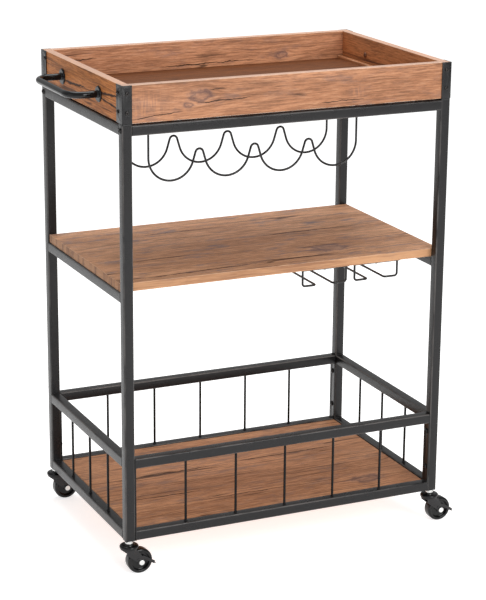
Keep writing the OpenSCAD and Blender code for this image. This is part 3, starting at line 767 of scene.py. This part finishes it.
# ---- Lower shelf ----
# The basket's floor: the same faced board, 12 mm thick, let down between the bottom rails
# onto six small welded tabs, and screwed up through them.
floor_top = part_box("lower_shelf")[1].z
low_wood = timber("lower_shelf_timber", "x", 1.83, (1.01, 1.03, 1.02), grey=0.62, lines_share=0.7,
                  knots=[(0.2, -0.133, floor_top, 0.05)],
                  cracks=[((-0.29, 0.036, 99), (0.0, 0.042, 99), 0.0034),
                          ((-0.04, 0.043, 99), (0.28, 0.047, 99), 0.0028),
                          ((-0.16, -0.11, 99), (0.1, -0.108, 99), 0.0024),
                          ((-0.29, -0.06, 99), (-0.08, -0.066, 99), 0.0026)])
low_shelf = new_piece("lower_shelf_board", plank("lower_shelf_board", *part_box("lower_shelf")),
                      low_wood)
fit(low_shelf, "board", "lower_shelf")
tabs = softened("lower_shelf_tabs", "shelf_tabs", 0.0004, tube_steel)
fit(tabs, "frame_steel", "shelf_tabs")

# ---- Wood screws ----
# Blackened pan-head screws with cross recesses, up into the boards: four through the shelf
# rails, four through the stemware channels' fixings and six through the lower shelf's tabs.
fasten("shelf_screws", "wood_screws", "black_bolt", black_oxide, True, 33)

# ---- Bottle rack ----
# Two 4 mm steel wires bent into four cradles with narrow humps between them. Their ends run
# straight up to two flat bars, welded between the front and rear top rails.
wire_steel = coated_steel("charcoal_wire_coat", tone(20, 19, 19), tone(76, 72, 70), 0.24,
                          spec=0.34)
wire_r = 0.002
cradle_pitch, cradle_r, hump_r, hump_rise = 0.107, 0.043, 0.0075, 0.053
for side in ("front", "rear"):
    low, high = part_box(f"bottle_wire_{side}")
    y, centre_z = (low.y + high.y) / 2, low.z + wire_r + cradle_r
    reach = math.hypot(cradle_pitch / 2, hump_rise - hump_r - cradle_r)
    lean = (math.atan2(hump_rise - hump_r - cradle_r, cradle_pitch / 2)
            + math.asin((cradle_r + hump_r) / reach))
    path = [(low.x + wire_r, y, high.z - 0.0001)]
    for i in range(4):
        x = (i - 1.5) * cradle_pitch
        start = math.pi if i == 0 else 1.5 * math.pi - lean
        end = 2 * math.pi if i == 3 else 1.5 * math.pi + lean
        path += [(x + cradle_r * math.cos(a), y, centre_z + cradle_r * math.sin(a))
                 for a in np.linspace(start, end, 40)]
        if i < 3:
            path += [(x + cradle_pitch / 2 - hump_r * math.sin(a), y,
                      centre_z + hump_rise - hump_r - cradle_r + hump_r * math.cos(a))
                     for a in np.linspace(lean, -lean, 18)]
    path.append((high.x - wire_r, y, high.z - 0.0001))
    wire = grow(f"bottle_wire_{side}_bent", lines_mesh("wire_path", [path]), rod_tree,
                {"Radius": wire_r, "Sides": 16}, wire_steel)
    fit(wire, "wire", f"bottle_wire_{side}")
bars = softened("bottle_rack_bars", "bottle_crossbars", 0.0005, tube_steel)
fit(bars, "frame_steel", "bottle_crossbars")

# ---- Stemware rack ----
# Each channel is one 4 mm wire: two front legs down, in to the slot, back along both sides
# of it and round its closed end. A strap and a hanger are welded on and screwed to the shelf.


def rounded_path(corners, radius, steps=9):
    """The corners joined by straight runs and arcs of one radius."""
    corners = [Vector(c) for c in corners]
    path = [corners[0]]
    for before, corner, after in zip(corners, corners[1:], corners[2:]):
        u, w = (before - corner).normalized(), (after - corner).normalized()
        half = u.angle(w) / 2
        centre = corner + (u + w).normalized() * radius / math.sin(half)
        a, b = corner + u * radius / math.tan(half), corner + w * radius / math.tan(half)
        for i in range(steps + 1):
            arm = (a - centre).normalized().slerp((b - centre).normalized(), i / steps)
            path.append(centre + arm * radius)
    return [tuple(p) for p in path + [corners[-1]]]


slot_half, leg_half, wire_bend = 0.017, 0.043, 0.005
for side in ("left", "right"):
    low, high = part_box(f"stem_wire_{side}")
    x, front, z = (low.x + high.x) / 2, low.y + wire_r, low.z + wire_r
    turn = high.y - wire_r - slot_half
    runs = [rounded_path([(x + s * leg_half, front, high.z - 0.0002), (x + s * leg_half, front, z),
                          (x + s * slot_half, front, z), (x + s * slot_half, turn, z)], wire_bend)
            for s in (-1, 1)]
    arc = [(x - slot_half * math.cos(a), turn + slot_half * math.sin(a), z)
           for a in np.linspace(0, math.pi, 25)][1:-1]
    wire = grow(f"stem_wire_{side}_bent", lines_mesh("wire_path", [runs[0] + arc + runs[1][::-1]]),
                rod_tree, {"Radius": wire_r, "Sides": 16}, wire_steel)
    fit(wire, "wire", f"stem_wire_{side}")
straps = softened("stem_straps_pressed", "stem_straps", 0.0003, tube_steel)
fit(straps, "frame_steel", "stem_straps")

# ---- Caster stems and races ----
# Each caster hangs on a zinc-plated stem with a round collar and a hexagon nut, under a
# pressed upper race in gloss black.
zinc = plated("bright_zinc", tone(232, 232, 230), 0.16, 1.0, 0.3)
stems = softened("caster_stems_plated", "caster_stems", 0.0004, zinc, 3)
fit(stems, "zinc", "caster_stems")
gloss_black = moulded("gloss_black_lacquer", tone(10, 10, 11), 0.1, 0.00001)


def joined(name, shapes):
    """One mesh of several bmeshes."""
    whole = bmesh.new()
    for shape in shapes:
        part = as_mesh(shape, name + "_part")
        whole.from_mesh(part)
        bpy.data.meshes.remove(part)
    return as_mesh(whole, name)


stem_hole_r, skirt_h, shoulder, lip_in, lip_out = 0.0042, 0.003, 0.0062, 0.0076, 0.0082
cups = []
for cup in solids("race_cups"):
    low, high = cup.min(0), cup.max(0)
    r, h = (high[0] - low[0]) / 2, high[2] - low[2]
    profile = [(stem_hole_r, 0), (r - 0.0012, 0), (r - 0.0003, 0.0004), (r, 0.0012), (r, skirt_h)]
    profile += [(r - shoulder * (1 - math.cos(a)), skirt_h + (h - skirt_h - 0.0006) * math.sin(a))
                for a in np.linspace(0.15, math.pi / 2, 9)]
    profile += [(r - 0.0075, h - 0.0006), (r - lip_out, h), (lip_in, h), (0.0072, h - 0.0005),
                (stem_hole_r, h - 0.0005)]
    one = turned(profile, 56)
    bmesh.ops.translate(one, verts=one.verts, vec=((low[0] + high[0]) / 2, (low[1] + high[1]) / 2,
                                                   low[2]))
    cups.append(one)
races = new_piece("race_cups_pressed", joined("race_cups_pressed", cups), gloss_black)
fit(races, "caster_black", "race_cups")

# ---- Caster forks, axles, wheels and brakes ----
# A pressed steel fork swivels on each stem and carries a hard black wheel on a bright axle
# bolt. The two front ones have a brake: a lever riveted between the cheeks, with a pedal.
fork_steel = plated("dark_fork_steel", tone(34, 33, 34), 0.16, 0.35)
wheel_plastic = moulded("gloss_wheel_plastic", tone(10, 10, 11), 0.1, 0.00001)
spins = {j["name"]: Vector(j["pos_m"]) for j in frame["joints"] if j["name"].startswith("spin_")}
wheel_r, half_w, bore_r, tread_bulge = 0.023, 0.0095, 0.00256, 0.0038
for corner in ("front_left", "front_right", "rear_left", "rear_right"):
    fork = softened(f"fork_{corner}_pressed", f"fork_{corner}", 0.0004, fork_steel)
    fit(fork, "fork_steel", f"fork_{corner}")
    axle = softened(f"axle_{corner}_bolt", f"axle_{corner}", 0.0006, zinc, 3)
    fit(axle, "zinc", f"axle_{corner}")
    hub = [(bore_r, half_w), (0.0056, half_w), (0.006, 0.0091), (0.0062, 0.0062)]
    web = [(0.007, 0.0056), (0.015, 0.005), (0.0158, 0.0055), (0.0166, 0.0086)]
    rim = [(0.0171, 0.0091), (0.0188, half_w)]
    rim += [(0.0191 + tread_bulge * math.sin(a), 0.0056 + tread_bulge * math.cos(a))
            for a in np.linspace(0.15, math.pi / 2, 8)]
    side = hub + web + rim
    profile = side + [(r, -h) for r, h in side[::-1]]
    profile = [(min(r, wheel_r), h) for r, h in profile]
    profile.insert(len(side), (wheel_r, 0.0))
    one = turned(profile, 72)
    bmesh.ops.rotate(one, verts=one.verts, cent=(0, 0, 0),
                     matrix=Matrix.Rotation(math.pi / 2, 3, "X"))
    bmesh.ops.translate(one, verts=one.verts, vec=spins[f"spin_{corner}"])
    wheel = new_piece(f"wheel_{corner}_moulded", as_mesh(one, "wheel"), wheel_plastic)
    fit(wheel, "wheel_black", f"wheel_{corner}")
for corner in ("front_left", "front_right"):
    lever = softened(f"brake_{corner}_lever", f"brake_{corner}", 0.0003, fork_steel)
    fit(lever, "fork_steel", f"brake_{corner}")

# ---- Tray ----
# Four wall boards, 15 mm thick, screwed through corner brackets of folded steel, round a
# thinner floor with a narrow batten along each short side. It lifts off by its two handles.
low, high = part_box("tray_wall_front")
wall_top, front_y = high.z, low.y
# Each wall's top edge carries a painted highlight, a paler strip just under it.
tray_woods = {
    "front": timber("tray_front_timber", "x", 0.0, (0.8, 0.78, 0.79), painted_highlight_top=wall_top,
                    knots=[(-0.169, front_y, 0.8405, 0.032), (-0.19, front_y, 0.8265, 0.016)],
                    cracks=[((-0.19, 99, 0.829), (-0.06, 99, 0.8325), 0.0018),
                            ((-0.3, 99, 0.809), (-0.19, 99, 0.8175), 0.0016),
                            ((0.04, 99, 0.812), (0.15, 99, 0.815), 0.0014),
                            ((-0.156, 99, 0.8505), (-0.118, 99, 0.851), 0.0012)],
                    scrapes=[(-0.262, front_y, 0.832, 0.075), (0.125, front_y, 0.826, 0.03)]),
    "rear": timber("tray_rear_timber", "x", 2.7, (1.15, 1.13, 1.15), painted_highlight_top=wall_top,
                   knots=[(0.163, front_y + 0.382, 0.829, 0.02)],
                   cracks=[((-0.12, 99, 0.8205), (0.13, 99, 0.825), 0.0018),
                           ((-0.28, 99, 0.845), (-0.2, 99, 0.846), 0.0014)]),
    "left": timber("tray_left_timber", "y", 4.1, (0.9, 0.69, 0.37), grey=0.2, painted_highlight_top=wall_top,
                   lines_share=0.75,
                   cracks=[((0.1, 99, 0.829), (-0.04, 99, 0.835), 0.0034),
                           ((-0.03, 99, 0.834), (-0.2, 99, 0.846), 0.0042),
                           ((-0.08, 99, 0.832), (-0.2, 99, 0.822), 0.003)]),
    "right": timber("tray_right_timber", "y", 5.9, (1.0, 0.81, 0.6), grey=0.15, painted_highlight_top=wall_top,
                    lines_share=0.6),
}
for side, wood in tray_woods.items():
    board = new_piece(f"tray_{side}_board", plank(f"tray_{side}", *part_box(f"tray_wall_{side}")), wood)
    fit(board, "board", f"tray_wall_{side}")
# The floor's dark tint is painted shade, standing for the shadow inside the tray's walls.
floor_wood_painted_shade = timber("tray_floor_timber", "x", 7.7, (0.31, 0.2, 0.08), grey=0.25)
tray_floor = new_piece("tray_floor_board", plank("tray_floor", *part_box("tray_floor"), 0.0006),
                       floor_wood_painted_shade)
fit(tray_floor, "board", "tray_floor")
batten_wood = timber("tray_batten_timber", "y", 9.3, (0.95, 0.85, 0.72), grey=0.2)
for number, batten in enumerate(solids("tray_battens")):
    strip = new_piece(f"tray_batten_{number + 1}", plank("batten", batten.min(0), batten.max(0)),
                      batten_wood)
    fit(strip, "board", "tray_battens")

# Corner brackets, folded from 1.5 mm strip, with two cross-head screws in each flange
brackets = softened("tray_brackets_folded", "tray_brackets", 0.0006, tube_steel, 3)
fit(brackets, "frame_steel", "tray_brackets")
bright_black = plated("bright_black_oxide", tone(52, 49, 48), 0.14, 0.7, 0.3)
fasten("bracket_screws_black", "bracket_screws", "black_bolt", bright_black, True, 57)

# ---- Handles ----
# Round 12 mm bar bent in two wide curves, welded to two turned flanges and screwed on from
# inside the tray. Gloss black, like the casters.
handle_black = moulded("gloss_black_handle", tone(12, 12, 13), 0.12, 0.00001)
bar_r, handle_bend, end_gap = 0.006, 0.028, 0.001
flange_r, flange_t, collar_h = 0.014, 0.003, 0.0052
for side, way in (("left", -1), ("right", 1)):
    low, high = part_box(f"handle_{side}")
    outer = (low.x + bar_r) if way < 0 else (high.x - bar_r)
    seat = high.x if way < 0 else low.x
    z = (low.z + high.z) / 2
    legs = [low.y + flange_r, high.y - flange_r]
    inner = seat + way * end_gap
    path = rounded_path([(inner, legs[0], z), (outer, legs[0], z), (outer, legs[1], z),
                         (inner, legs[1], z)], handle_bend, 20)
    bar = grow(f"handle_{side}_bar", lines_mesh("handle_path", [path]), rod_tree,
               {"Radius": bar_r, "Sides": 32}, handle_black)
    fit(bar, "handle_black", f"handle_{side}")
    pair = []
    for y in legs:
        one = turned([(0, 0), (flange_r - 0.0004, 0), (flange_r, 0.0004), (flange_r, 0.0014),
                      (flange_r - 0.0016, flange_t), (0.0078, flange_t), (0.0072, 0.0034),
                      (0.0066, 0.0046), (0.0059, collar_h), (0, collar_h)], 48)
        bmesh.ops.rotate(one, verts=one.verts, cent=(0, 0, 0),
                         matrix=Matrix.Rotation(way * math.pi / 2, 3, "Y"))
        bmesh.ops.translate(one, verts=one.verts, vec=(seat, y, z))
        pair.append(one)
    flanges = new_piece(f"handle_{side}_flanges", joined("flanges", pair), handle_black)
    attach(flanges, "tray")
brown_lacquer = plated("brown_lacquered_screw", tone(120, 74, 48), 0.4, 0.0)
fasten("handle_screws_lacquered", "handle_screws", "black_bolt", brown_lacquer, True, 71)

# ---- Studio ----
# A pale sweep, a bright even room, a broad window of light from the front, a soft fill from
# the left and a panel of light above.
ground = bpy.data.meshes.new("studio_floor")
ground.from_pydata([(-6, -6, 0), (6, -6, 0), (6, 6, 0), (-6, 6, 0)], [], [(0, 1, 2, 3)])
f = Finish("studio_paper", {"Roughness": 0.9, "Specular IOR Level": 0.1,
                            "Emission Color": (1.0, 1.0, 1.0, 1.0), "Emission Strength": 0.68})
cloud = f.noise(f.place, 3, 2, 0.5)
f.vary({"Base Color": f.blend(cloud, (0.78, 0.78, 0.78, 1), (0.8, 0.8, 0.8, 1))})
paper = new_piece("studio_floor", ground, f.material)

world = bpy.data.worlds.new("studio_room")
world.use_nodes = True
room = world.node_tree
seen_directly = room.nodes.new("ShaderNodeLightPath").outputs["Is Camera Ray"]
strength = room.nodes.new("ShaderNodeMapRange")
strength.inputs["To Min"].default_value, strength.inputs["To Max"].default_value = 0.5, 1.1
room.links.new(seen_directly, strength.inputs["Value"])
room.links.new(strength.outputs[0], room.nodes["Background"].inputs["Strength"])
room.nodes["Background"].inputs["Color"].default_value = (1.0, 1.0, 1.0, 1.0)
bpy.context.scene.world = world


def softbox(name, place, target, size, watts, shade=(1.0, 1.0, 1.0)):
    lamp = bpy.data.lights.new(name, "AREA")
    lamp.shape, lamp.size, lamp.energy, lamp.color = "SQUARE", size, watts, shade
    holder = bpy.data.objects.new(name, lamp)
    bpy.context.scene.collection.objects.link(holder)
    holder.location = place
    holder.rotation_euler = (Vector(target) - Vector(place)).to_track_quat("-Z", "Y").to_euler()


softbox("window_front", (0.7, -3.3, 1.9), (0, 0, 0.5), 2.0, 84)
softbox("fill_left", (-3.0, -0.6, 1.4), (0, 0, 0.5), 1.4, 3)
softbox("sky_panel", (0.2, 0.6, 3.0), (0, 0, 0.6), 2.0, 48)

bpy.context.scene.view_settings.view_transform = "Standard"
bpy.context.scene.view_settings.look = "None"

camera_data = bpy.data.cameras.new("camera")
camera_data.lens, camera_data.sensor_width = 120.8, 36.0
camera_data.clip_end = 50.0
camera = bpy.data.objects.new("camera", camera_data)
bpy.context.scene.collection.objects.link(camera)
yaw, pitch, roll = -0.4315589, 0.2871452, 0.0077916
ahead = Vector((-math.sin(yaw) * math.cos(pitch), math.cos(yaw) * math.cos(pitch),
                -math.sin(pitch)))
right = Vector((math.cos(yaw), math.sin(yaw), 0.0))
up = right.cross(ahead)
across = math.cos(roll) * right + math.sin(roll) * up
upright = -math.sin(roll) * right + math.cos(roll) * up
camera.matrix_world = Matrix.Translation((-1.48506, -3.23083, 1.46349)) @ Matrix(
    (across, upright, -ahead)).transposed().to_4x4()
bpy.context.scene.camera = camera

bpy.context.view_layer.update()
